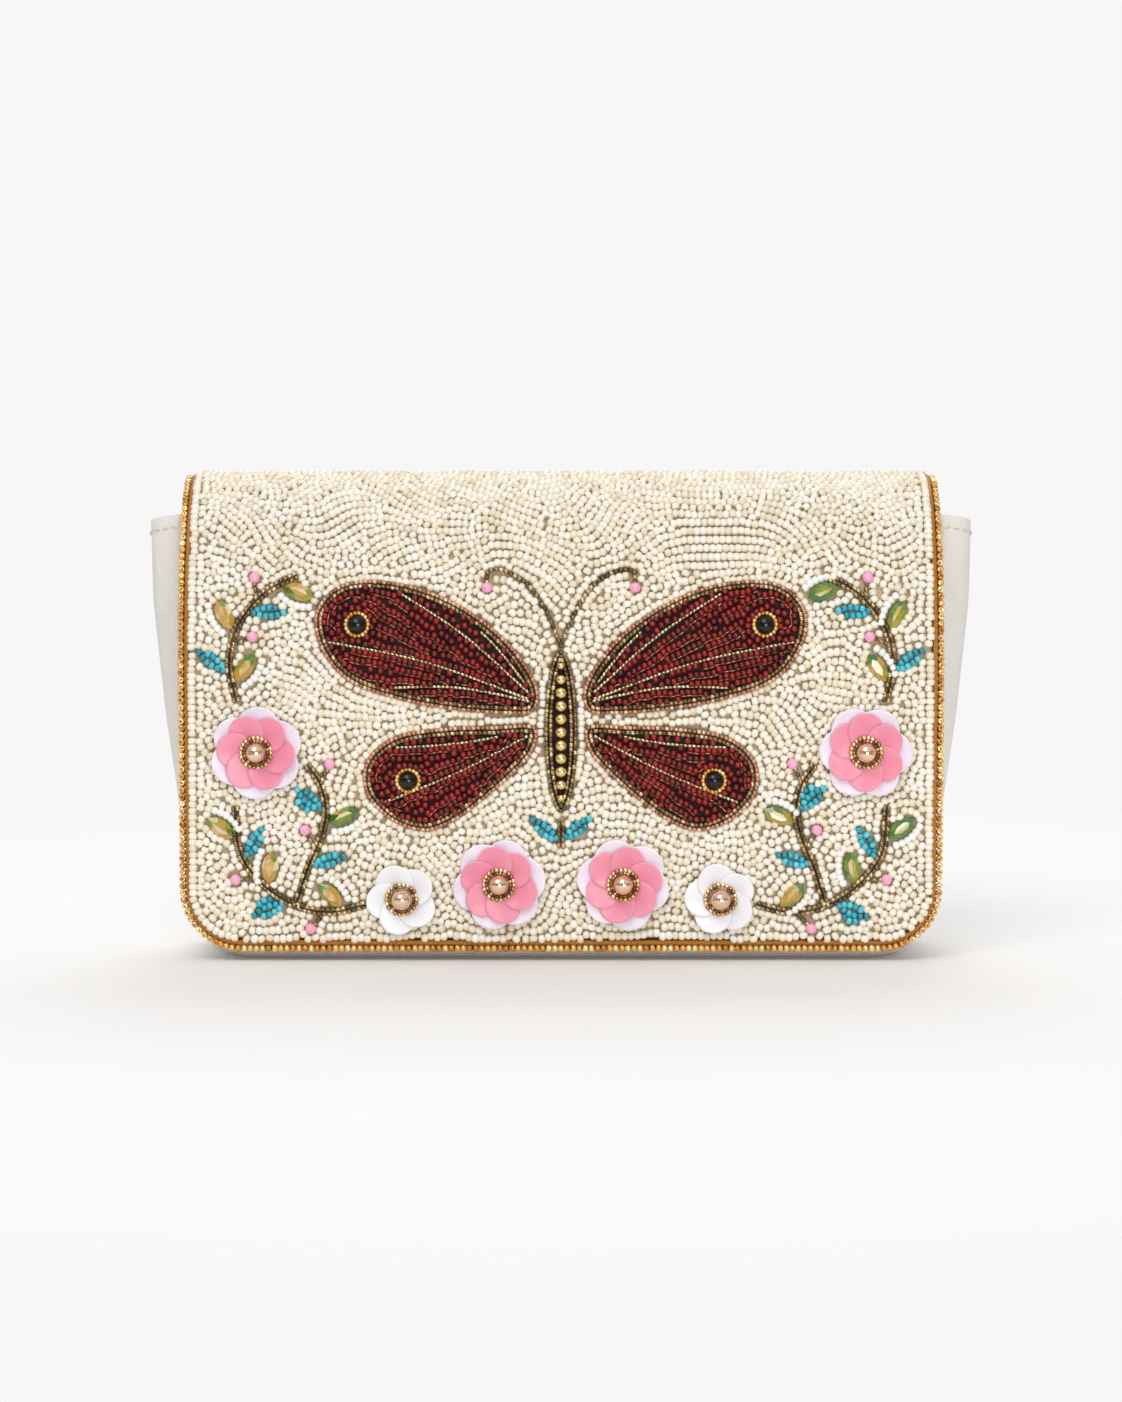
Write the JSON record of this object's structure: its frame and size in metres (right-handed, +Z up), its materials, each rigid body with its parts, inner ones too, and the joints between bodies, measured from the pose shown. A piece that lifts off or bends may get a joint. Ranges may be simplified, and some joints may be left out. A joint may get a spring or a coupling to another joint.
{
  "type": "beaded flap clutch bag",
  "caption": "Rectangular leather flap clutch with a seed-bead embroidered front flap, sequin flowers and a magnetic snap.",
  "frame": {"origin": "centre of the flat underside, on the surface it stands on", "axes": "+X to the viewer's right when facing the flap, the flap faces -Y, +Z up"},
  "size_m": [0.2486, 0.0525, 0.1455],
  "materials": {
    "leather": "fine-grained, pale stone",
    "board": "matte",
    "satin_lining": "satin",
    "ivory_beads": "opaque glossy glass beads sewn in rows",
    "amber_binding": "satin",
    "gold_beads": "gold-lined glossy beads",
    "pink_sequins": "satin sequins",
    "lilac_sequins": "frosted sequins",
    "white_sequins": "satin sequins",
    "rose_pearl": "pearlescent",
    "burgundy_beads": "deep red glossy beads in rows",
    "bronze_beads": "antique bronze metallic beads",
    "gold_pearl": "pearlescent",
    "black_cabochon": "polished",
    "leaf_beads": "turquoise, pink and green beads and crystals",
    "nickel_plate": "polished nickel"
  },
  "bodies": {
    "pouch": {"front_panel": "leather", "back_panel": "leather", "gusset": "leather", "crease_roll": "leather", "front_board": "board", "back_board": "board", "base_board": "board", "lining": "satin_lining", "snap_socket": "nickel_plate", "snap_socket_washer": "nickel_plate"},
    "flap": {"flap_lining": "leather", "flap_board": "board", "bead_field": "ivory_beads", "edge_binding": "amber_binding", "edge_beads": "gold_beads", "snap_stud": "nickel_plate", "snap_stud_washer": "nickel_plate", "pink_flower_lower_left_under_petals": "lilac_sequins", "pink_flower_lower_left_petals": "pink_sequins", "pink_flower_lower_left_bead_ring": "gold_beads", "pink_flower_lower_left_pearl": "rose_pearl", "pink_flower_lower_right_under_petals": "lilac_sequins", "pink_flower_lower_right_petals": "pink_sequins", "pink_flower_lower_right_bead_ring": "gold_beads", "pink_flower_lower_right_pearl": "rose_pearl", "pink_flower_upper_left_under_petals": "lilac_sequins", "pink_flower_upper_left_petals": "pink_sequins", "pink_flower_upper_left_bead_ring": "gold_beads", "pink_flower_upper_left_pearl": "rose_pearl", "pink_flower_upper_right_under_petals": "lilac_sequins", "pink_flower_upper_right_petals": "pink_sequins", "pink_flower_upper_right_bead_ring": "gold_beads", "pink_flower_upper_right_pearl": "rose_pearl", "white_flower_left_petals": "white_sequins", "white_flower_left_bead_ring": "gold_beads", "white_flower_left_pearl": "rose_pearl", "white_flower_right_petals": "white_sequins", "white_flower_right_bead_ring": "gold_beads", "white_flower_right_pearl": "rose_pearl", "upper_wing_left": "burgundy_beads", "upper_wing_left_outline": "bronze_beads", "upper_wing_right": "burgundy_beads", "upper_wing_right_outline": "bronze_beads", "lower_wing_left": "burgundy_beads", "lower_wing_left_outline": "bronze_beads", "lower_wing_right": "burgundy_beads", "lower_wing_right_outline": "bronze_beads", "upper_spot_left": "black_cabochon", "upper_spot_right": "black_cabochon", "lower_spot_left": "black_cabochon", "lower_spot_right": "black_cabochon", "antennae": "bronze_beads", "body_band": "bronze_beads", "body_pearls": "gold_pearl", "lower_vine_left": "leaf_beads", "lower_vine_right": "leaf_beads", "upper_vine_left": "leaf_beads", "upper_vine_right": "leaf_beads", "centre_sprig": "leaf_beads"}
  },
  "joints": [
    {"name": "flap_hinge", "type": "hinge", "parent": "pouch", "child": "flap", "pos_m": [0, 0.0102, 0.14185], "axis": [-1, 0, 0], "range_deg": [0, 180]}
  ]
}
